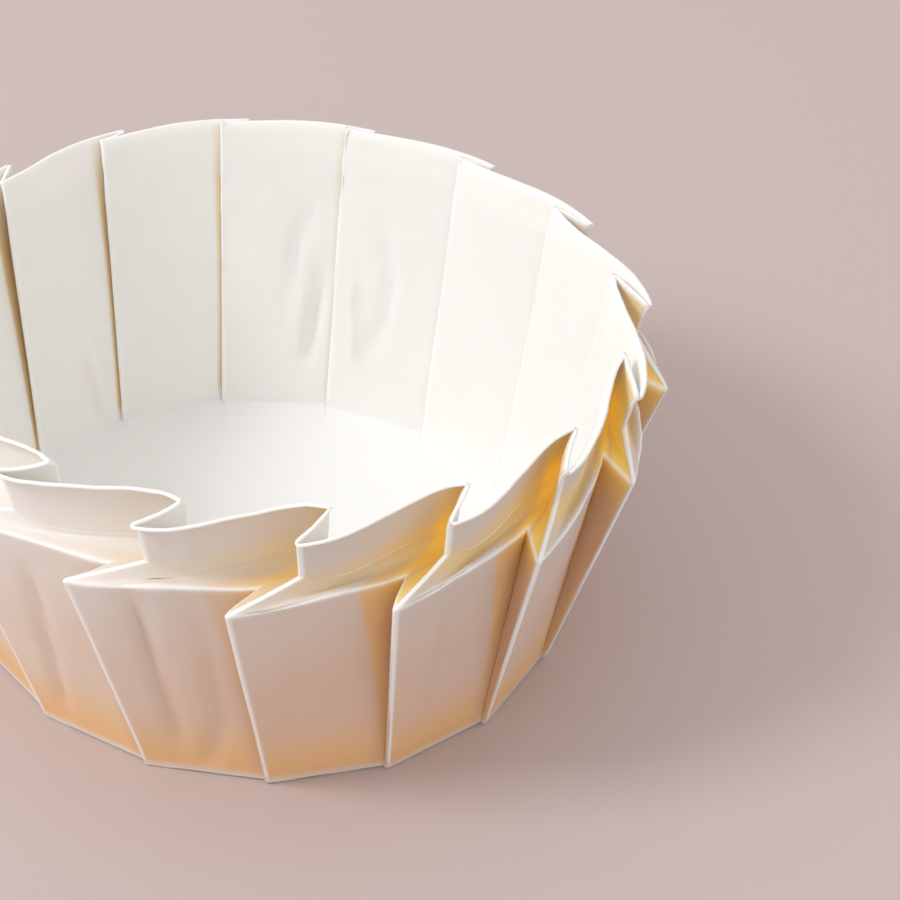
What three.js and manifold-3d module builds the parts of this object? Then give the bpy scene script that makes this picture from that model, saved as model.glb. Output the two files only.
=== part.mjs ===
// Paper cake liner: a flared round cup of pleated paper, open at the top, standing on a flat base.
// The wall carries a ring of knife pleats that all lean the same way. Below the shoulder it is
// double: the inner wall runs smooth from the floor to the rim, the outer wall stands clear of it
// and ends in a turned-in lip with one pointed tongue a pleat. Millimetres, +Z up, base on z = 0.
import * as THREE from 'three';
import ManifoldModule from 'manifold-3d';

const TAU = Math.PI * 2;
const deg = (d) => (d * Math.PI) / 180;

// Sheet and pleats
const PLEATS = 16;
const PAPER = 0.4; // thickness of the folded sheet
const PITCH = TAU / PLEATS;

// Heights
const LINER_H = 77.2; // rim, halfway round
const FLOOR_T = 0.6; // floor, two plies of the sheet
const SHOULDER_H = 63.6; // top edge of the outer wall
const TONGUE_RISE = 4; // how far the tongues climb above it to reach the inner wall

// Inner wall, rim: each panel starts at an outer corner and bends in to a soft tip
const RIM_CORNER_R = 81.8;
const RIM_TIP_R = 74.4;
const RIM_OVERLAP = deg(6.6); // how far a tip laps behind the next corner
const RIM_EXTRA_LAP = deg(3); // more on the right, where the pleats were pushed round
const RIM_PUSHED_AT = deg(-25); // the middle of that stretch
const RIM_PUSH_FALL = 8; // higher for a shorter stretch
const RIM_BACK_FLAT = 0.65; // share of the pleat depth that is pressed flat at the back
const RIM_PHASE = deg(-107.8); // corner of the first pleat
const RIM_BOW = 1.25; // above 1, a panel stays out and turns in near its tip
const RIM_CHORD = 0.5; // 0 for panels on the round, 1 for the flat ones at the front
const RIM_LEAN = 0.042; // rise of the rim towards the front, for each mm: the paper leans back a little

// Inner wall, foot: the pleats fade out on a polygon
const FLOOR_R = 64.5;
const FLOOR_PHASE = deg(-101.5);
const FLOOR_FOLD = 0.55; // half depth of the fold that is left at the floor
const FLOOR_OVERLAP = deg(1.1);

// Outer wall, shoulder
const SHOULDER_CORNER_R = 86.6;
const SHOULDER_TIP_R = 77;
const SHOULDER_OVERLAP = deg(4.6);
const SHOULDER_PHASE = deg(-116.9);
const SHOULDER_BOW = 1.1;
const SHOULDER_CHORD = 0.15;
const SHOULDER_CROWN = 1.4; // the edge stands this much higher between two corners
const LIP_W = 1.7; // turned-in lip along a panel
const LIP_EDGE = 0.3; // lip where the wall folds back
const LIP_RISE = 0.5;
const LIP_FADE = 0.38; // share of the panel over which the lip narrows to that edge
const LIP_END = 0.9; // share of the panel where it is gone
const TONGUE_GAP = 0.8; // a tongue's tip to the middle of the sheet that it meets

// Outer wall, base
const BASE_R = 66.6;
const BASE_SHIFT = 1.5; // the wall leans a little to the left of its base
const BASE_PHASE = deg(-110.8);

// One pleat as steps along the sheet: a share of the panel, or of the fold that leads back
const INNER_STEPS = [0, 0.03, 0.27, 0.5, 0.73, 0.9, 0.97, 1, 1.5];
const OUTER_STEPS = [0, 0.025, 0.1, 0.17, 0.26, 0.42, 0.62, 0.82, 0.96, 1, 1.5];
const TONGUE_AT = 0.17; // the step that carries the tongue
const MITRE_MIN = 0.55; // keeps the sheet from spiking at its sharpest folds

const polar = (r, a) => [r * Math.cos(a), r * Math.sin(a)];
const lerp = (a, b, t) => a + (b - a) * t;
const mix = (p, q, t) => [lerp(p[0], q[0], t), lerp(p[1], q[1], t)];

// Plan of a pleated ring. Panels run from corner to the next tip, then the sheet folds back.
function pleatedRing({ cornerAt, tipR, overlap, phase, bow, chord }, steps) {
  const points = [];
  for (let k = 0; k < PLEATS; k++) {
    const [fromR, from] = cornerAt(phase + k * PITCH);
    const [nextR, next] = cornerAt(phase + (k + 1) * PITCH);
    const end = phase + (k + 1) * PITCH + overlap;
    const tip = polar(tipR, end);
    const flat = chord(from);
    for (const s of steps) {
      if (s <= 1) {
        const round = polar(lerp(fromR, tipR, s ** bow), lerp(from, end, s));
        points.push(mix(round, mix(polar(fromR, from), tip, s), flat));
      } else {
        points.push(mix(tip, polar(nextR, next), s - 1));
      }
    }
  }
  return points;
}

// A corner of the rim by its even place: pushed round on the right, pressed flatter at the back.
function rimCorner(a) {
  const right = Math.max(0, Math.cos(a - RIM_PUSHED_AT));
  const back = Math.max(0, Math.sin(a));
  const depth = (RIM_CORNER_R - RIM_TIP_R) * (1 - RIM_BACK_FLAT * back ** 2);
  return [RIM_TIP_R + depth, a - RIM_EXTRA_LAP * right ** RIM_PUSH_FALL];
}

// The same ring at the foot of a wall: a polygon with only a small fold left at each corner.
function polygonRing({ radius, fold, overlap, phase }, steps) {
  const points = [];
  for (let k = 0; k < PLEATS; k++) {
    const corner = phase + k * PITCH;
    const from = polar(radius + fold, corner);
    const tip = polar(radius - fold, corner + PITCH + overlap);
    const next = polar(radius + fold, corner + PITCH);
    for (const s of steps) points.push(s <= 1 ? mix(from, tip, s) : mix(tip, next, s - 1));
  }
  return points.map(([x, y]) => [x + BASE_SHIFT, y]);
}

// Moves a closed plan line sideways, with mitred corners held short as folded paper does.
function offsetRing(points, d) {
  const n = points.length;
  return points.map((p, i) => {
    const a = points[(i + n - 1) % n];
    const b = points[(i + 1) % n];
    const u = unit(p[0] - a[0], p[1] - a[1]);
    const v = unit(b[0] - p[0], b[1] - p[1]);
    const m = unit(u[0] + v[0], u[1] + v[1]);
    const stretch = 1 / Math.max(m[0] * u[0] + m[1] * u[1], MITRE_MIN);
    return [p[0] + m[1] * d * stretch, p[1] - m[0] * d * stretch];
  });
}

function unit(x, y) {
  const l = Math.hypot(x, y);
  return [x / l, y / l];
}

const rimHeight = (p) => LINER_H - RIM_LEAN * p[1];
const level = (ring, z) => ring.map((p) => [p[0], p[1], z]);

// Joins closed rows into one skin, row after row; an open end is closed by a fan.
function skin(rows, { topFan, bottomFan, wrap }) {
  const position = [];
  const index = [];
  const n = rows[0].length;
  rows.forEach((row) => row.forEach((p) => position.push(...p)));
  const joins = wrap ? rows.length : rows.length - 1;
  for (let j = 0; j < joins; j++) {
    const a = j * n;
    const b = ((j + 1) % rows.length) * n;
    for (let i = 0; i < n; i++) {
      const i2 = (i + 1) % n;
      index.push(a + i, a + i2, b + i2, a + i, b + i2, b + i);
    }
  }
  const fan = (row, z, up) => {
    const c = position.length / 3;
    position.push(0, 0, z);
    for (let i = 0; i < n; i++) {
      const i2 = (i + 1) % n;
      if (up) index.push(c, row + i, row + i2);
      else index.push(c, row + i2, row + i);
    }
  };
  if (bottomFan !== undefined) fan(0, bottomFan, false);
  if (topFan !== undefined) fan((rows.length - 1) * n, topFan, true);
  return { position, index };
}

// Inner wall: a pleated tube that rises from inside the floor to the rim.
function innerWall() {
  const foot = polygonRing(
    { radius: FLOOR_R, fold: FLOOR_FOLD, overlap: FLOOR_OVERLAP, phase: FLOOR_PHASE },
    INNER_STEPS,
  );
  const rim = pleatedRing(
    {
      cornerAt: rimCorner,
      tipR: RIM_TIP_R,
      overlap: RIM_OVERLAP,
      phase: RIM_PHASE,
      bow: RIM_BOW,
      chord: (a) => RIM_CHORD * Math.max(0, -Math.sin(a)),
    },
    INNER_STEPS,
  );
  const sides = (d) => {
    const low = offsetRing(foot, d);
    const high = offsetRing(rim, d);
    const row = (t) => low.map((p, i) => {
      const q = high[i];
      return [...mix(p, q, t), lerp(FLOOR_T / 2, rimHeight(q), t)];
    });
    return [0, 1 / 3, 2 / 3, 1].map(row);
  };
  const outside = sides(PAPER / 2);
  const inside = sides(-PAPER / 2);
  return skin([...outside, ...inside.reverse()], { wrap: true });
}

// Where a tongue of the lip touches the wall behind it: the corner of a pleat at the foot height.
function tongueTip(k) {
  const rim = polar(...rimCorner(RIM_PHASE + k * PITCH));
  const t = (SHOULDER_H + TONGUE_RISE) / rimHeight(rim);
  const [x, y] = polar(FLOOR_R, FLOOR_PHASE + k * PITCH);
  const corner = mix([x + BASE_SHIFT, y], rim, t);
  return polar(Math.hypot(...corner) + TONGUE_GAP, Math.atan2(corner[1], corner[0]));
}

// Outer wall with the floor: from the base up to the shoulder, over it and in along the lip.
function outerWall() {
  const base = polygonRing(
    { radius: BASE_R, fold: FLOOR_FOLD, overlap: FLOOR_OVERLAP, phase: BASE_PHASE },
    OUTER_STEPS,
  );
  const shoulder = pleatedRing(
    {
      cornerAt: (a) => [SHOULDER_CORNER_R, a],
      tipR: SHOULDER_TIP_R,
      overlap: SHOULDER_OVERLAP,
      phase: SHOULDER_PHASE,
      bow: SHOULDER_BOW,
      chord: () => SHOULDER_CHORD,
    },
    OUTER_STEPS,
  );
  const outLow = offsetRing(base, PAPER / 2);
  const outHigh = offsetRing(shoulder, PAPER / 2);
  const inLow = offsetRing(base, -PAPER / 2);
  const inHigh = offsetRing(shoulder, -PAPER / 2);
  const n = OUTER_STEPS.length;
  const edgeHeight = (i) => {
    const s = Math.min(OUTER_STEPS[i % n], 1);
    return SHOULDER_H + SHOULDER_CROWN * Math.sin(Math.PI * s) ** 2;
  };
  const lip = (rise) =>
    inHigh.map((p, i) => {
      const s = OUTER_STEPS[i % n];
      const k = Math.floor(i / n);
      if (s === TONGUE_AT) {
        const q = tongueTip(k);
        return [q[0], q[1], SHOULDER_H + TONGUE_RISE + rise];
      }
      const along = s > TONGUE_AT && s < LIP_END;
      const fade = along ? Math.min(1, (1 - s) / LIP_FADE) : 0;
      const w = PAPER + lerp(LIP_EDGE, LIP_W, fade);
      const inward = 1 - w / Math.hypot(p[0], p[1]);
      return [p[0] * inward, p[1] * inward, edgeHeight(i) + rise + LIP_RISE * fade];
    });
  const row = (low, high, t, drop = 0) =>
    low.map((p, i) => [...mix(p, high[i], t), t * (edgeHeight(i) - drop)]);
  const rows = [
    row(outLow, outHigh, 0),
    row(outLow, outHigh, 1 / 3),
    row(outLow, outHigh, 2 / 3),
    row(outLow, outHigh, 1),
    lip(0),
    lip(-PAPER),
    row(inLow, inHigh, 1, PAPER),
    row(inLow, inHigh, 2 / 3),
    row(inLow, inHigh, 1 / 3),
    level(inLow, FLOOR_T),
  ];
  return skin(rows, { bottomFan: 0, topFan: FLOOR_T });
}

const wasm = await ManifoldModule();
wasm.setup();

function solid({ position, index }) {
  const mesh = new wasm.Mesh({
    numProp: 3,
    vertProperties: new Float32Array(position),
    triVerts: new Uint32Array(index),
  });
  return new wasm.Manifold(mesh);
}

function join(a, b) {
  const { vertProperties, triVerts } = solid(a).add(solid(b)).getMesh();
  const geometry = new THREE.BufferGeometry();
  geometry.setAttribute('position', new THREE.BufferAttribute(new Float32Array(vertProperties), 3));
  geometry.setIndex(new THREE.BufferAttribute(new Uint32Array(triVerts), 1));
  geometry.computeVertexNormals();
  return geometry;
}

const paper = new THREE.MeshStandardMaterial({ color: '#f3efe6', roughness: 0.85, metalness: 0 });
const liner = new THREE.Mesh(join(innerWall(), outerWall()), paper);
liner.name = 'liner';

const part = new THREE.Group();
part.name = 'paper_cake_liner';
part.add(liner);

export default part;
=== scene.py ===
"""Paper cake liner: a flared cup of pleated baking paper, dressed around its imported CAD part.

Two plies of one folded sheet are made by the same rule as the CAD, only finer: the inner ply is the
floor, the wall and the collar up to the rim, the outer ply is the underside, the outer wall and the
shelf that closes it against the collar. Every ring of the sheet is a row of knife pleats: a panel
runs from an outer corner to a tip that laps behind the next corner, and the sheet folds back to it.
Lengths are millimetres where they are multiplied by MM, and metres inside the node trees.
"""

import math

import bpy
from mathutils import Matrix, Vector


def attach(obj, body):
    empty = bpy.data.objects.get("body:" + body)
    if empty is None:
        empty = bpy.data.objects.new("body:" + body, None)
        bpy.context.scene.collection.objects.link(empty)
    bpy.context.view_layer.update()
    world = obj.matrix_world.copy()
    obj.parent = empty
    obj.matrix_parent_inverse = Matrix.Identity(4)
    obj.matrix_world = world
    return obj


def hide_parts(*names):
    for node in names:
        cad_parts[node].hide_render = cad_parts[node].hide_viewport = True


MM = 0.001
SHEET = 0.4

# The rings of the sheet, close to those of the part's source: lengths in mm, angles in degrees
PLEATS = 16
PITCH = math.tau / PLEATS
RINGS = {
    "Foot": dict(corner=65.05, tip=63.95, phase=-101.5, chord=1, shift=1.5),
    "Rim": dict(corner=81.8, tip=73.0, overlap=6.4, phase=-107.8, bow=1.25, back_flat=0.82,
                extra_lap=3.0, hook=1.0, pinch=3.4, tip_turn=2.9, tip_swell=1.6),
    "Base": dict(corner=67.15, tip=66.05, phase=-110.8, chord=1, shift=1.5),
    "Shoulder": dict(corner=86.6, tip=77.0, overlap=4.6, phase=-116.9, bow=1.1, chord=0.15),
}
RING_DEFAULTS = dict(corner=0, tip=0, overlap=0, phase=0, bow=1, hook=0, chord=0, back_flat=0,
                     extra_lap=0, pinch=0, tip_turn=0, tip_swell=0, shift=0)
RING_SOCKETS = dict(corner="Corner radius", tip="Tip radius", overlap="Overlap", phase="Phase",
                    bow="Bow", hook="Hook", chord="Chord", back_flat="Back flat",
                    extra_lap="Extra lap", pinch="Front pinch", tip_turn="Tip turn",
                    tip_swell="Tip swell", shift="Shift")
ANGLES = ("overlap", "phase", "extra_lap", "tip_turn")
LENGTHS = ("corner", "tip", "pinch", "tip_swell", "shift")

# How single stretches of the ring differ. A higher fall makes the stretch shorter.
PUSHED_AT = math.radians(-25)  # the pleats were pushed round here
PUSH_FALL = 8
DRAWN_AT = math.radians(10)  # the rim's tips were drawn out here
DRAW_FALL = 3
BACK_FALL = 1.4  # the back is pressed flat
PINCH_FALL = 3  # the front tips are pinched in
HOOK_AT = 0.84  # share of a rim panel at which it stops turning in and curls back to its tip
HOOK_BACK = 0.16

RIM_H = 77.2  # halfway round
RIM_LEAN = 0.042  # rise of the rim towards the front, for each mm
SHOULDER_H = 63.6
SHOULDER_CROWN = 1.4  # the shoulder stands this much higher between two corners
COLLAR_FOOT_H = 65.6  # where the shelf meets the inner ply


class Value:
    """One output of a node, on which sums are written as they are on paper."""

    def __init__(self, graph, socket):
        self.graph, self.socket = graph, socket

    def __add__(self, other):
        return self.graph.maths("ADD", self, other)

    def __radd__(self, other):
        return self.graph.maths("ADD", other, self)

    def __sub__(self, other):
        return self.graph.maths("SUBTRACT", self, other)

    def __rsub__(self, other):
        return self.graph.maths("SUBTRACT", other, self)

    def __mul__(self, other):
        return self.graph.maths("MULTIPLY", self, other)

    def __rmul__(self, other):
        return self.graph.maths("MULTIPLY", other, self)

    def __truediv__(self, other):
        return self.graph.maths("DIVIDE", self, other)

    def __rtruediv__(self, other):
        return self.graph.maths("DIVIDE", other, self)

    def __pow__(self, other):
        return self.graph.maths("POWER", self, other)

    def __neg__(self):
        return self.graph.maths("MULTIPLY", self, -1)


class Graph:
    """Adds nodes to one tree, of a shape or of a material."""

    def __init__(self, tree):
        self.tree = tree

    def node(self, kind, settings=None, inputs=None):
        made = self.tree.nodes.new(kind)
        for name, value in (settings or {}).items():
            setattr(made, name, value)
        for key, value in (inputs or {}).items():
            socket = made.inputs[key]
            if isinstance(value, Value):
                self.tree.links.new(value.socket, socket)
            else:
                socket.default_value = value
        return made

    def get(self, kind, settings=None, inputs=None, out=0):
        return Value(self, self.node(kind, settings, inputs).outputs[out])

    def maths(self, operation, *terms):
        return self.get("ShaderNodeMath", {"operation": operation}, dict(enumerate(terms)))

    def clip(self, value, low=0.0, high=1.0):
        return self.maths("MINIMUM", self.maths("MAXIMUM", value, low), high)

    def positive(self, value):
        return self.maths("MAXIMUM", value, 0.0)

    def sine(self, angle):
        return self.maths("SINE", angle)

    def cosine(self, angle):
        return self.maths("COSINE", angle)

    def blend(self, a, b, share):
        return a + (b - a) * share

    def step(self, value, start, end):
        """0 at start, 1 at end, smooth between them."""
        return self.get("ShaderNodeMapRange", {"interpolation_type": "SMOOTHSTEP"},
                        {"Value": value, "From Min": start, "From Max": end})

    def bell(self, distance, width):
        return self.maths("EXPONENT", -((distance / width) ** 2))

    def xyz(self, x, y, z):
        return self.get("ShaderNodeCombineXYZ", None, {0: x, 1: y, 2: z})

    def split(self, vector):
        parts = self.node("ShaderNodeSeparateXYZ", None, {0: vector})
        return [Value(self, out) for out in parts.outputs]

    def noise(self, vector, scale, detail=2.0, roughness=0.5, distortion=0.0):
        return self.get("ShaderNodeTexNoise", {"noise_dimensions": "3D"},
                        {"Vector": vector, "Scale": scale, "Detail": detail,
                         "Roughness": roughness, "Distortion": distortion}, "Fac")


def shape_tree(name, inputs, outputs):
    """A geometry node tree with named inputs: {name: socket type or number}."""
    tree = bpy.data.node_groups.new(name, "GeometryNodeTree")
    for label, default in inputs.items():
        kind = "NodeSocketFloat" if isinstance(default, (int, float)) else default
        socket = tree.interface.new_socket(label, in_out="INPUT", socket_type=kind)
        if kind == "NodeSocketFloat":
            socket.default_value = default
    for label, kind in outputs.items():
        tree.interface.new_socket(label, in_out="OUTPUT", socket_type=kind)
    graph = Graph(tree)
    source = tree.nodes.new("NodeGroupInput")
    given = {s.name: Value(graph, s) for s in source.outputs if s.name}
    return graph, given, tree.nodes.new("NodeGroupOutput")


def ring_tree():
    """Plan of one pleated ring. Share runs 0 to 1 along a panel and on to 2 along the fold."""
    names = {"Pleat": 0.0, "Share": 0.0}
    names.update({RING_SOCKETS[k]: float(v) for k, v in RING_DEFAULTS.items()})
    g, given, out = shape_tree("Pleated ring", names,
                               {"X": "NodeSocketFloat", "Y": "NodeSocketFloat"})
    tip_r = given["Tip radius"]
    here = given["Phase"] + given["Pleat"] * PITCH
    along = g.maths("MINIMUM", given["Share"], 1.0)
    back = g.positive(given["Share"] - 1)

    def corner(angle, inner_r):
        pressed = given["Back flat"] * g.positive(g.sine(angle)) ** BACK_FALL
        depth = (given["Corner radius"] - inner_r) * (1 - pressed)
        pushed = g.positive(g.cosine(angle - PUSHED_AT)) ** PUSH_FALL
        return inner_r + depth, angle - given["Extra lap"] * pushed

    def polar(radius, angle):
        return radius * g.cosine(angle), radius * g.sine(angle)

    from_r, start = corner(here, tip_r)
    next_r, follow = corner(here + PITCH, tip_r)
    end = here + PITCH + given["Overlap"]
    hooked = g.step(along, 0.0, HOOK_AT) - g.step(along, HOOK_AT, 1.0) * HOOK_BACK
    inward = g.blend(along ** given["Bow"], hooked, given["Hook"])
    drawn = g.positive(g.cosine(end - DRAWN_AT)) ** DRAW_FALL
    end = end + given["Tip turn"] * drawn
    tip_r = tip_r + given["Tip swell"] * drawn
    tip_r = tip_r - given["Front pinch"] * g.positive(-g.sine(end)) ** PINCH_FALL
    bowed = polar(g.blend(from_r, tip_r, inward), g.blend(start, end, along))
    for label, curve, a, b, c in zip("XY", bowed, polar(from_r, start), polar(tip_r, end),
                                     polar(next_r, follow)):
        panel = g.blend(curve, g.blend(a, b, along), given["Chord"])
        point = g.blend(panel, c, back)
        if label == "X":
            point = point + given["Shift"]
        g.tree.links.new(point.socket, out.inputs[label])
    return g.tree


def ring_inputs(prefix):
    """The named inputs of a sheet's tree for one of its rings, in metres and radians."""
    spec = dict(RING_DEFAULTS, **RINGS[prefix])
    for key in spec:
        if key in ANGLES:
            spec[key] = math.radians(spec[key])
        elif key in LENGTHS:
            spec[key] *= MM
    return {f"{prefix} {RING_SOCKETS[k].lower()}": float(v) for k, v in spec.items()}


def ring_point(g, given, ring, prefix, pleat, share, soft=None):
    """A point of one ring, or the mean of three about it where the fold is a soft one."""
    values = {"Pleat": pleat}
    for label in RING_SOCKETS.values():
        values[label] = given[f"{prefix} {label.lower()}"]
    x = y = 0.0
    for side, weight in ((0, 1.0),) if soft is None else ((-1, 0.25), (0, 0.5), (1, 0.25)):
        values["Share"] = share + soft * side if side else share
        made = g.node("GeometryNodeGroup", {"node_tree": ring}, values)
        x = x + Value(g, made.outputs["X"]) * weight
        y = y + Value(g, made.outputs["Y"]) * weight
    return x, y


# The grid of a cup: columns run round it, rows from the middle of the floor up and over
PANEL_STEPS = 14
FOLD_STEPS = 4
COLUMNS = PANEL_STEPS + FOLD_STEPS
PANEL_EASE = 0.72
FOLD_EASE = 0.8
WALL_EASE = 0.82
SHELF_EASE = 0.7
PANEL_TURN = 0.96  # share of a pleat's turn that the panel takes on the flat floor
INNER_ROWS = (6, 24, 0)  # on the floor, the wall and the shelf
OUTER_ROWS = (6, 18, 7)

# Soft forms of a cup
TIP_FROM = 0.6  # share of a panel at which its tip begins
ROLL_FROM = 0.972  # share of the wall at which the cut edge begins to roll
BEAD_FROM = 0.97  # and at which it begins to thicken
RISE_FROM = 0.8  # and at which the tips begin to stand up
TONGUE_WIDTH = 0.13  # share of a panel
TROUGH_AT = 0.68  # share of the way in over the shelf
TROUGH_WIDTH = 0.24
TROUGH_SIDE = -0.5  # the angle where the trough is deepest, in radians
SHELF_GAP = 0.04 * MM  # keeps the shelf off the inner ply
WELD = 0.02 * MM
SEAM = 0.001 * MM
BUCKLE_SCALE = 62.0
CRUMPLE_SCALE = 170.0


def eased(g, x, ease):
    """Steps that crowd towards both ends, where the sheet bends."""
    return x - g.sine(x * math.tau) * (ease / math.tau)


def stored(g, geometry, label, field):
    """Leaves a field on the points, for later nodes and for the materials."""
    return g.get("GeometryNodeStoreNamedAttribute", {"data_type": "FLOAT", "domain": "POINT"},
                 {"Geometry": geometry, "Name": label, "Value": field})


def recalled(g, label):
    return g.get("GeometryNodeInputNamedAttribute", {"data_type": "FLOAT"}, {"Name": label})


def cup_inputs(low, high, shelf):
    """The named inputs of a cup's tree. Those of a shelf reach out to the inner ply's rings."""
    sizes = ["Floor height", "Top height", "Crown", "Lean", "Roll", "Soft tip", "Tip rise",
             "Trough", "Tongue rise", "Flange", "Rim bead", "Buckle", "Crumple"]
    if shelf:
        sizes += ["Rim height", "Rim lean", "Rim soft tip", "Wall foot height"]
    names = dict.fromkeys(sizes, 0.0)
    names.update({"Floor ease": 1.0, "Collar foot height": COLLAR_FOOT_H * MM, "Sheet": SHEET * MM})
    for prefix in (low, high) + (("Foot", "Rim") if shelf else ()):
        names.update(ring_inputs(prefix))
    names.update(dict.fromkeys(("Inside", "Outside", "Edge"), "NodeSocketMaterial"))
    return names


def cup_tree(name, low, high, rows, shelf):
    """A cup from the middle of its floor up to the high ring, and on over a shelf if it has one."""
    ring = bpy.data.node_groups.get("Pleated ring") or ring_tree()
    floor_rows, wall_rows, shelf_rows = rows
    g, given, out = shape_tree(name, cup_inputs(low, high, shelf),
                               {"Geometry": "NodeSocketGeometry"})

    count = floor_rows + wall_rows + shelf_rows + 1
    grid = g.get("GeometryNodeMeshGrid", None,
                 {"Size X": 1.0, "Size Y": 1.0, "Vertices X": PLEATS * COLUMNS + 1,
                  "Vertices Y": count}, "Mesh")
    index = g.get("GeometryNodeInputIndex")
    column = g.maths("FLOOR", (index + 0.5) / count)
    row = index - column * count
    pleat = g.maths("FLOOR", (column + 0.5) / COLUMNS)
    place = column - pleat * COLUMNS
    panel = eased(g, g.clip(place / PANEL_STEPS), PANEL_EASE)
    fold = eased(g, g.clip((place - PANEL_STEPS) / FOLD_STEPS), FOLD_EASE)
    share, lap = panel + fold, panel - fold  # lap is 0 at a corner, 1 at a tip, and 0 again
    floor = 1 - (1 - g.clip(row / floor_rows)) ** given["Floor ease"]
    wall = eased(g, g.clip((row - floor_rows) / wall_rows), WALL_EASE)

    foot_x, foot_y = ring_point(g, given, ring, low, pleat, share)
    near_tip = g.step(lap, TIP_FROM, 1.0)
    top_x, top_y = ring_point(g, given, ring, high, pleat, share, near_tip * given["Soft tip"])
    edge = given["Top height"] + given["Crown"] * g.sine(panel * math.pi) ** 2
    edge = edge - given["Lean"] * top_y
    shift, start = given[f"{low} shift"], given[f"{low} phase"]
    turn = start + (pleat + panel * PANEL_TURN + fold * (1 - PANEL_TURN)) * PITCH
    disc = (given[f"{low} corner radius"] + given[f"{low} tip radius"]) * 0.5 * floor
    at_edge = g.clip(row - (floor_rows - 1))
    x = g.blend(g.blend(shift + disc * g.cosine(turn), foot_x, at_edge), top_x, wall)
    y = g.blend(g.blend(disc * g.sine(turn), foot_y, at_edge), top_y, wall)
    z = g.blend(given["Floor height"], edge, wall)

    # The cut edge rolls a little outwards, most at the front, and each tip stands up
    reach = (x ** 2 + y ** 2) ** 0.5 + 1e-6
    front = g.clip(-y / reach)
    curl = g.step(wall, ROLL_FROM, 1.0) * given["Roll"] * (0.3 + front * (0.9 + near_tip * 0.6))
    z = z + g.step(wall, RISE_FROM, 1.0) * near_tip * given["Tip rise"] * (0.3 + front)
    x, y = x + x / reach * curl, y + y / reach * curl

    fields = {"lap": lap, "fold_back": g.step(fold, 0.0, 0.3), "wall_height": wall}
    if shelf:
        on_shelf = row - floor_rows - wall_rows
        inward = eased(g, g.clip(on_shelf / (shelf_rows - 1)), SHELF_EASE)
        flange = g.clip(on_shelf - (shelf_rows - 1)) * given["Flange"]
        x, y, z = over_shelf(g, given, ring, pleat, share, lap, inward, flange, (x, y, z))
        fields["trough"] = g.step(inward, 0.3, 0.75)
        fields["brim"] = g.step(wall, 0.985, 0.998) * g.step(inward, 0.08, 0.02)
    else:
        foot = given["Collar foot height"]
        fields["trough"] = g.step(z, foot + 7 * MM, foot + 1 * MM)
        fields["brim"] = g.step(wall, 0.985, 0.995)

    sheet = g.get("GeometryNodeSetPosition", None, {"Geometry": grid, "Position": g.xyz(x, y, z)})
    for label, field in fields.items():
        sheet = stored(g, sheet, label, field)
    sheet = g.get("GeometryNodeMergeByDistance", None, {"Geometry": sheet, "Distance": WELD})
    sheet = g.get("GeometryNodeSubdivisionSurface", None, {"Mesh": sheet, "Level": 1})
    done = thickened(g, given, bent(g, given, name, sheet, shelf))
    g.tree.links.new(done.socket, out.inputs["Geometry"])
    return g.tree


def over_shelf(g, given, ring, pleat, share, lap, inward, flange, shoulder):
    """Takes a point of the shoulder in over the shelf, to the inner ply and up along it."""
    near_tip = g.step(lap, TIP_FROM, 1.0)
    foot_x, foot_y = ring_point(g, given, ring, "Foot", pleat, share)
    rim_x, rim_y = ring_point(g, given, ring, "Rim", pleat, share,
                              near_tip * given["Rim soft tip"])
    tongue = g.bell(lap, TONGUE_WIDTH)
    inner_edge = given["Collar foot height"] + given["Tongue rise"] * tongue + flange
    rim_edge = given["Rim height"] - given["Rim lean"] * rim_y
    climb = (inner_edge - given["Wall foot height"]) / (rim_edge - given["Wall foot height"])
    near_x, near_y = g.blend(foot_x, rim_x, climb), g.blend(foot_y, rim_y, climb)
    right = g.positive(g.cosine(g.maths("ARCTAN2", near_y, near_x) - TROUGH_SIDE))
    dip = (0.15 + right) * g.bell(inward - TROUGH_AT, TROUGH_WIDTH) * (1 - tongue)
    clear = 1 + SHELF_GAP / (near_x ** 2 + near_y ** 2) ** 0.5
    x, y, z = shoulder
    return (g.blend(x, near_x * clear, inward), g.blend(y, near_y * clear, inward),
            g.blend(z, inner_edge, inward) - dip * given["Trough"])


def bent(g, given, name, sheet, shelf):
    """Soft buckles that run up the wall, a fine crumple, and the creases."""
    x, y, z = g.split(g.get("GeometryNodeInputPosition"))
    buckle = g.noise(g.xyz(x, y, z * 0.3), BUCKLE_SCALE, 1.0) - 0.5
    crumple = g.noise(g.xyz(x, y, z * 0.7), CRUMPLE_SCALE, 2.0, 0.55, 0.6) - 0.5
    lap, fold_back = recalled(g, "lap"), recalled(g, "fold_back")
    loose = g.step(z, 4 * MM, 20 * MM) * (0.12 + g.step(lap, 0.0, 0.2) * 0.88)
    if shelf:
        loose = loose * (1 - recalled(g, "trough"))
    else:
        loose = loose * (1 - g.bell(z - COLLAR_FOOT_H * MM - 1 * MM, 3 * MM))
    push = (buckle * given["Buckle"] + crumple * given["Crumple"]) * loose
    creased = 0.0
    for crease in CREASES[name]:
        creased = crease_push(g, x, y, z, **crease) + creased
    creased = creased * g.step(lap, 0.06, 0.2) * g.step(lap, 0.98, 0.88) * (1 - fold_back)
    sheet = stored(g, sheet, "crease", creased / MM)
    distance = push * (1 - fold_back * 2) + recalled(g, "crease") * MM - given["Sheet"] * 0.5
    offset = g.get("ShaderNodeVectorMath", {"operation": "SCALE"},
                   {"Vector": g.get("GeometryNodeInputNormal"), "Scale": distance})
    return g.get("GeometryNodeSetPosition", None, {"Geometry": sheet, "Offset": offset})


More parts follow.
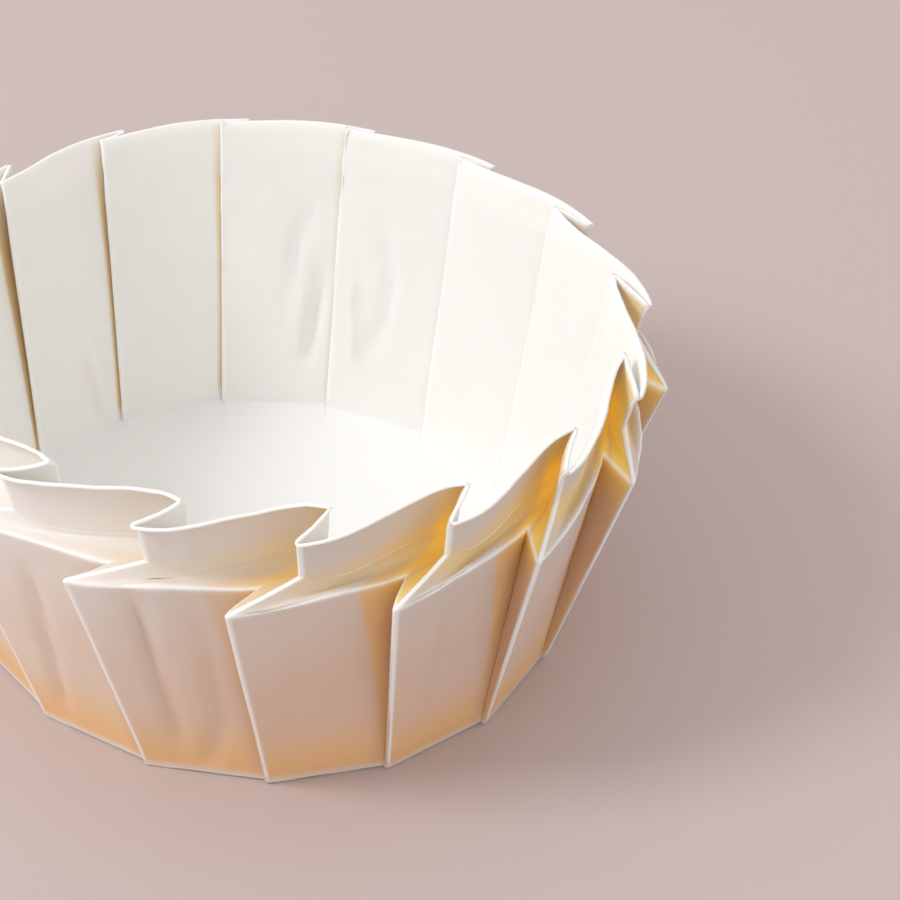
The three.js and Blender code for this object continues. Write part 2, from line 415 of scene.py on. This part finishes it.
def thickened(g, given, sheet):
    """The sheet's thickness: the moved copy is its outside, the flipped one its inside."""
    bead = given["Rim bead"] * g.step(recalled(g, "wall_height"), BEAD_FROM, 1.0)
    extruded = g.node("GeometryNodeExtrudeMesh", {"mode": "FACES"},
                      {"Mesh": sheet, "Offset Scale": given["Sheet"] + bead, "Individual": False})
    face, top, side = (Value(g, socket) for socket in extruded.outputs)
    under = g.get("GeometryNodeFlipFaces", None, {"Mesh": sheet})
    both = g.node("GeometryNodeJoinGeometry")
    for shell in (face, under):
        g.tree.links.new(shell.socket, both.inputs[0])
    closed = g.get("GeometryNodeMergeByDistance", None,
                   {"Geometry": Value(g, both.outputs[0]), "Distance": SEAM})
    done = g.get("GeometryNodeRealizeInstances", None, {"Geometry": closed})
    for label, chosen in (("Inside", True), ("Outside", top), ("Edge", side)):
        done = g.get("GeometryNodeSetMaterial", None,
                     {"Geometry": done, "Selection": chosen, "Material": given[label]})
    return done


def crease_push(g, x, y, z, angle, low, high, depth, width=1.2, slant=0.0, bow=0.0):
    """A crease up the wall at an angle in degrees, from one height to another, in millimetres."""
    rise = (z - low * MM) / ((high - low) * MM)
    centre = math.radians(angle) + math.radians(slant) * rise
    centre = centre + math.radians(bow) * g.sine(rise * math.pi)
    reach = (x ** 2 + y ** 2) ** 0.5
    away = (g.maths("ARCTAN2", y, x) - centre) * reach
    ends = g.step(rise, 0.0, 0.25) * g.step(rise, 1.0, 0.75)
    return g.bell(away, width * MM) * ends * (depth * MM)


CREASES = {
    "inner_ply": [
        dict(angle=86.6, low=22, high=58, depth=1.2, width=1.2, slant=-4.6, bow=1.6),
        dict(angle=84.4, low=12, high=46, depth=-0.9, width=0.9, slant=-1.2),
        dict(angle=82.6, low=8, high=38, depth=1.2, width=1.2, slant=-3.2),
        dict(angle=71.6, low=12, high=40, depth=-0.9, width=0.8, slant=2.4),
        dict(angle=70.4, low=14, high=56, depth=1.3, width=1.3, slant=0.6, bow=-4.4),
        dict(angle=124.4, low=2, high=32, depth=0.9, width=1.3, slant=4.6),
        dict(angle=127.6, low=2, high=24, depth=-0.7, width=1.0, slant=3.0),
        dict(angle=-101.0, low=66, high=80, depth=0.45, width=1.2, slant=-1.5),
        dict(angle=-98.0, low=66, high=80, depth=-0.4, width=1.0, slant=-1.5),
    ],
    "outer_ply": [
        dict(angle=-101.8, low=1, high=67, depth=-1.5, width=1.4, slant=-7.2),
        dict(angle=-103.0, low=42, high=67, depth=0.9, width=0.9, slant=-1.6),
        dict(angle=-94.0, low=12, high=64, depth=-0.7, width=1.5, slant=-6.0),
        dict(angle=-97.4, low=2, high=22, depth=-0.8, width=2.0, slant=2.0),
        dict(angle=-126.6, low=0, high=62, depth=-1.3, width=1.5, slant=0.4),
        dict(angle=-82.0, low=4, high=60, depth=-0.6, width=1.8, slant=-3.0),
        dict(angle=-58.0, low=4, high=66, depth=-0.9, width=1.5, slant=-3.0),
        dict(angle=-150.0, low=2, high=66, depth=-1.2, width=1.6, slant=-4.0),
        dict(angle=170.0, low=6, high=66, depth=0.9, width=1.6, slant=-5.0),
        dict(angle=118.0, low=2, high=66, depth=-1.1, width=1.6, slant=-4.0),
        dict(angle=74.0, low=2, high=60, depth=-0.9, width=1.5, slant=-5.0),
        dict(angle=12.0, low=6, high=66, depth=0.8, width=1.6, slant=-5.0),
    ],
}


def make_ply(name, low, high, rows, shelf, sizes, papers):
    """Runs a cup's tree on an empty mesh and returns the result as a plain piece."""
    tree = cup_tree(name, low, high, rows, shelf)
    piece = bpy.data.objects.new(name, bpy.data.meshes.new(name))
    bpy.context.scene.collection.objects.link(piece)
    made = piece.modifiers.new("Pleats", "NODES")
    made.node_group = tree
    sockets = {item.name: item.identifier for item in tree.interface.items_tree
               if getattr(item, "in_out", "") == "INPUT"}
    for label, size in sizes.items():
        made[sockets[label]] = float(size)
    for label, finish in papers.items():
        made[sockets[label]] = finish
    evaluated = piece.evaluated_get(bpy.context.evaluated_depsgraph_get())
    mesh = bpy.data.meshes.new_from_object(evaluated)
    if mesh.materials[0] is None:
        mesh.materials.pop(index=0)
    piece.modifiers.clear()
    piece.data = mesh
    return piece


BLACK = (0.0, 0.0, 0.0, 1.0)
LIGHT_THROUGH = (1.0, 0.66, 0.09, 1.0)
WHITE = (0.925, 0.905, 0.87, 1.0)
CREAM = (0.91, 0.88, 0.82, 1.0)
GREY_SHADE = (0.64, 0.57, 0.525, 1.0)
FLOOR = (0.90, 0.893, 0.88, 1.0)
WARM_SHADE = (0.77, 0.57, 0.45, 1.0)
BOUNCE_LIGHT = (0.92, 0.53, 0.20, 1.0)
POCKET_LIGHT = (0.90, 0.62, 0.16, 1.0)
POCKET_SHADE = (0.74, 0.50, 0.30, 1.0)
GAP_SHADE = (0.82, 0.56, 0.24, 1.0)
WEDGE_LIGHT = (0.88, 0.56, 0.24, 1.0)
HIGHLIGHT = (0.975, 0.97, 0.96, 1.0)

# Where the painted shade and painted light of the outside start and end, in metres: heights, then
# places across
FOOT_BOUNCE = (0.026, 0.0)
LOWER_WALL = (0.064, 0.03)
UPPER_WALL = (0.035, 0.062)
POCKET_LIT = (0.050, 0.062)
POCKET_SHADE_TO_LIGHT = (0.050, 0.066)
POCKET_GLOW = (0.060, 0.066)
COLLAR = (0.066, 0.070)
COLLAR_TOP = (0.066, 0.078)
TO_RIGHT = (-0.06, 0.02)
FAR_RIGHT = (0.01, 0.06)
WEDGES = (-0.03, 0.02)
WEDGE_WIDTH = 0.3  # share of a panel at the shoulder; a wedge runs out at the base
LAP_AT_RIM = 0.22  # share of a panel that lies behind the next corner there
GLOW = 0.17  # strength of the daylight that comes through the pockets


def material(name):
    made = bpy.data.materials.new(name)
    made.use_nodes = True
    made.node_tree.nodes.clear()
    return made, Graph(made.node_tree)


def colour_mix(g, a, b, factor):
    made = g.node("ShaderNodeMix", {"data_type": "RGBA"}, {"Factor": factor, 6: a, 7: b})
    return Value(g, made.outputs[2])


def mark(g, label):
    """A field that the cup's tree left on its points."""
    return g.get("ShaderNodeAttribute", {"attribute_name": label}, None, "Fac")


def outside_colour(g, colour, place, on_wall):
    """Painted shade, painted bounce light at the foot, painted highlights on the folds, and painted
    light through the stretches where it is doubled: the colour and the glow.
    """
    x, y, z = g.split(place)
    lap, fold_back, trough = mark(g, "lap"), mark(g, "fold_back"), mark(g, "trough")
    to_right = g.step(x, *TO_RIGHT)
    top = g.clip(g.step(z, *COLLAR) + trough)
    # Painted shade: the outside is mixed towards a pinkish shade colour, more low on the wall and
    # on the right, none on the collar and the shelf.
    shade = 0.3 + g.step(z, *LOWER_WALL) * 0.37 + to_right * 0.37
    shade = shade * (1 - top) * (0.3 + on_wall * 0.7)
    colour = colour_mix(g, colour, WARM_SHADE, shade)
    # Painted shade: greyer on the upper wall and at the far right, and on the collar and the shelf.
    grey_shade = g.step(z, *UPPER_WALL) * 0.4 + g.step(x, *FAR_RIGHT) * 0.3
    grey_shade = g.blend(grey_shade * to_right, 0.12 + to_right * 0.6, top)
    colour = colour_mix(g, colour, GREY_SHADE, grey_shade)
    # Painted orange bounce light, strongest at the foot of the wall and gone 26 mm up.
    colour = colour_mix(g, colour, BOUNCE_LIGHT, g.step(z, *FOOT_BOUNCE) * on_wall * 0.85)

    # Painted light through the doubled paper: an amber wedge at the end of each panel on the right,
    # widest at the shoulder, running out at the base.
    wedge_at = 1.0 - z * (WEDGE_WIDTH / (SHOULDER_H * MM))
    wedge = g.step(lap, wedge_at - 0.02, wedge_at + 0.03) * g.step(x, *WEDGES) * on_wall
    colour = colour_mix(g, colour, WEDGE_LIGHT, wedge * (1 - top) * 0.85)

    # Painted shade and light in the pockets of the folds: orange-brown shade low on the wall,
    # yellow light coming through higher up, and along the trough of the shelf.
    folded = g.clip(g.step(lap, 0.82, 0.94) + g.step(fold_back, 0.3, 0.8)) * on_wall
    pocket = colour_mix(g, POCKET_SHADE, POCKET_LIGHT, g.step(z, *POCKET_SHADE_TO_LIGHT))
    # How much daylight reaches a pocket: most at the front right
    lit = 0.06 + g.step(x, -0.04, 0.01) * 0.29 + g.step(x, -0.01, 0.05) * 0.65
    lit = lit * (1 - g.step(y, -0.01, 0.03) * 0.7)
    above = g.step(z, *COLLAR_TOP)
    strength = g.blend(g.blend(0.75, lit, g.step(z, *POCKET_LIT)), lit * 0.6, above)
    folded = folded * strength
    glowing = folded * g.step(z, *POCKET_GLOW) * lit * (1 - above * 0.6) + trough * lit * 0.3
    colour = colour_mix(g, colour, pocket, g.clip(folded + trough * lit * 0.55))
    # Painted highlights along the fold corners and the rim.
    highlight_line = g.clip(g.step(lap, 0.048, 0.022) * on_wall + mark(g, "brim"))
    return colour_mix(g, colour, HIGHLIGHT, highlight_line), g.clip(glowing)


def inside_colour(g, colour, place, on_wall):
    """White wall and floor, with a line of painted orange-brown shade at the left where a tip hides
    behind a corner, and painted highlights on the tips and the rim.
    """
    x, y, z = g.split(place)
    lap = mark(g, "lap")
    hidden = z * (LAP_AT_RIM / (RIM_H * MM))
    # Painted orange-brown shade in the gap where a tip hides behind a corner, at the back left.
    gap_shade = g.step(lap - hidden, 0.065, 0.02) * g.step(z, 0.080, 0.055) * on_wall
    gap_shade = gap_shade * g.step(x, 0.04, -0.04) * g.step(y, -0.04, 0.01) * 0.9
    colour = colour_mix(g, colour, GAP_SHADE, gap_shade)
    # Painted highlights along the tips and the rim.
    highlight_line = g.clip(g.step(lap, 0.95, 1.0) * on_wall + mark(g, "brim"))
    colour = colour_mix(g, colour, HIGHLIGHT, highlight_line)
    # The floor of the cup is mixed a little greyer than its wall: painted shade.
    return colour_mix(g, colour, FLOOR, 1 - on_wall)


def paper_material(name, side):
    """Matt baking paper, with painted yellow light where it is doubled in a fold and light comes
    through, and painted shade and highlights.
    """
    made, g = material(name)
    place = g.get("ShaderNodeTexCoord", None, None, "Object")
    on_wall = g.step(mark(g, "wall_height"), 0.0, 0.06)
    cloud = g.noise(place, 55.0, 3.0, 0.6)
    fibre = g.noise(place, 900.0, 3.0, 0.65)
    colour = colour_mix(g, WHITE, CREAM, g.clip((cloud - 0.42) * 1.2))
    glowing = 0.0
    if side == "Outside":
        colour, glowing = outside_colour(g, colour, place, on_wall)
    elif side == "Inside":
        colour = inside_colour(g, colour, place, on_wall)
    else:
        # Painted highlight: the cut edge is mixed nearly white.
        colour = colour_mix(g, colour, HIGHLIGHT, 0.8)
    if side != "Edge":
        # Painted highlight where a crease pushes outwards, painted shade where it pushes inwards.
        crease = mark(g, "crease")
        colour = colour_mix(g, colour, HIGHLIGHT, g.clip(crease * 0.3))
        colour = colour_mix(g, colour, WARM_SHADE, g.clip(crease * -0.3))
    bump_height = fibre * 0.35 + g.noise(place, 260.0, 2.0, 0.5) * 0.65
    bump = g.get("ShaderNodeBump", None, {"Strength": 0.12, "Distance": 0.4 * MM,
                                          "Height": bump_height}, "Normal")
    shader = g.node("ShaderNodeBsdfPrincipled", None, {
        "Base Color": colour, "Roughness": 0.58 + g.clip(cloud) * 0.16, "Normal": bump,
        "Subsurface Weight": 0.2, "Subsurface Scale": 1 * MM,
        "Subsurface Radius": (1.0, 0.7, 0.4), "Specular IOR Level": 0.32})
    # The glow is painted light: it stands in for daylight that comes through the pockets.
    if side == "Outside":
        light = colour_mix(g, BLACK, LIGHT_THROUGH, glowing)
        g.tree.links.new(light.socket, shader.inputs["Emission Color"])
        shader.inputs["Emission Strength"].default_value = GLOW
    out = g.node("ShaderNodeOutputMaterial")
    g.tree.links.new(shader.outputs[0], out.inputs[0])
    return made


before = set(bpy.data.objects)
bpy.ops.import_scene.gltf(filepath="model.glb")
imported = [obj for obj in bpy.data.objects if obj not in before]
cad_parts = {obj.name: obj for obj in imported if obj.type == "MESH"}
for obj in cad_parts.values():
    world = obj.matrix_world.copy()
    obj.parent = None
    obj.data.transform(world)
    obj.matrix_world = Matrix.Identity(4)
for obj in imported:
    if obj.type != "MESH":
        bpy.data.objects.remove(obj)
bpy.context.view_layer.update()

papers = {side: paper_material(f"baking_paper_{side.lower()}", side)
          for side in ("Outside", "Inside", "Edge")}
inner = make_ply("inner_ply", "Foot", "Rim", INNER_ROWS, False, {
    "Floor height": 0.6 * MM, "Floor ease": 1.35, "Top height": RIM_H * MM, "Lean": RIM_LEAN,
    "Crown": 0.7 * MM, "Roll": 1.5 * MM, "Soft tip": 0.05, "Tip rise": 1.5 * MM,
    "Rim bead": 0.35 * MM, "Buckle": 1.5 * MM, "Crumple": 0.5 * MM}, papers)
outer = make_ply("outer_ply", "Base", "Shoulder", OUTER_ROWS, True, {
    "Floor height": 0.2 * MM, "Floor ease": 2.6, "Top height": SHOULDER_H * MM,
    "Crown": SHOULDER_CROWN * MM, "Trough": 2.4 * MM, "Tongue rise": 3.2 * MM, "Flange": 1.0 * MM,
    "Rim height": (RIM_H + 0.35) * MM, "Rim lean": RIM_LEAN, "Rim soft tip": 0.05,
    "Wall foot height": 0.6 * MM, "Buckle": 1.5 * MM, "Crumple": 0.5 * MM}, papers)

for piece in (inner, outer):
    piece.data.shade_smooth()
    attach(piece, "root")
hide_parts("liner")
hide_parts("liner")


FLOOR_PAINT = (0.555, 0.46, 0.445, 1.0)
DAYLIGHT = (0.96, 0.93, 0.91, 1.0)
DAYLIGHT_STRENGTH = 0.86
LAMPS_AIM = Vector((0, 0, 0.03))


def floor_material():
    made, g = material("studio_floor")
    shader = g.node("ShaderNodeBsdfPrincipled", None,
                    {"Base Color": FLOOR_PAINT, "Roughness": 0.7})
    out = g.node("ShaderNodeOutputMaterial")
    g.tree.links.new(shader.outputs[0], out.inputs[0])
    return made


bpy.ops.mesh.primitive_plane_add(size=6.0, location=(0, 0, 0))
floor = bpy.context.object
floor.name = "studio_floor"
floor.data.materials.append(floor_material())

world = bpy.data.worlds.new("studio")
bpy.context.scene.world = world
world.use_nodes = True
sky = world.node_tree.nodes["Background"]
sky.inputs["Color"].default_value = DAYLIGHT
sky.inputs["Strength"].default_value = DAYLIGHT_STRENGTH


def soft_lamp(name, at, size, power, colour):
    lamp = bpy.data.lights.new(name, "AREA")
    lamp.size = size
    lamp.energy = power
    lamp.color = colour
    holder = bpy.data.objects.new(name, lamp)
    holder.location = at
    holder.rotation_euler = (LAMPS_AIM - Vector(at)).to_track_quat("-Z", "Y").to_euler()
    bpy.context.scene.collection.objects.link(holder)


soft_lamp("window", (-1.0, -0.38, 1.1), 0.4, 9.8, (0.965, 0.985, 1.0))
soft_lamp("ceiling", (-0.2, -0.3, 1.4), 1.4, 0.6, (1.0, 0.98, 0.965))

# Fitted to the corners of the rim, the collar, the shoulder and the base
CAMERA_AT = Vector((0.0015, -0.62399, 0.53969))
CAMERA_RIGHT = Vector((0.99776944, -0.00992003, 0.06601315))
CAMERA_UP = Vector((-0.04523914, 0.62669328, 0.77795177))
CAMERA_LENS = 145.23

lens = bpy.data.cameras.new("camera")
lens.sensor_width = 36.0
lens.lens = CAMERA_LENS
camera = bpy.data.objects.new("camera", lens)
turn = Matrix((CAMERA_RIGHT, CAMERA_UP, CAMERA_RIGHT.cross(CAMERA_UP))).transposed()
camera.matrix_world = Matrix.Translation(CAMERA_AT) @ turn.to_4x4()
bpy.context.scene.collection.objects.link(camera)
bpy.context.scene.camera = camera
bpy.context.scene.view_settings.view_transform = "Standard"
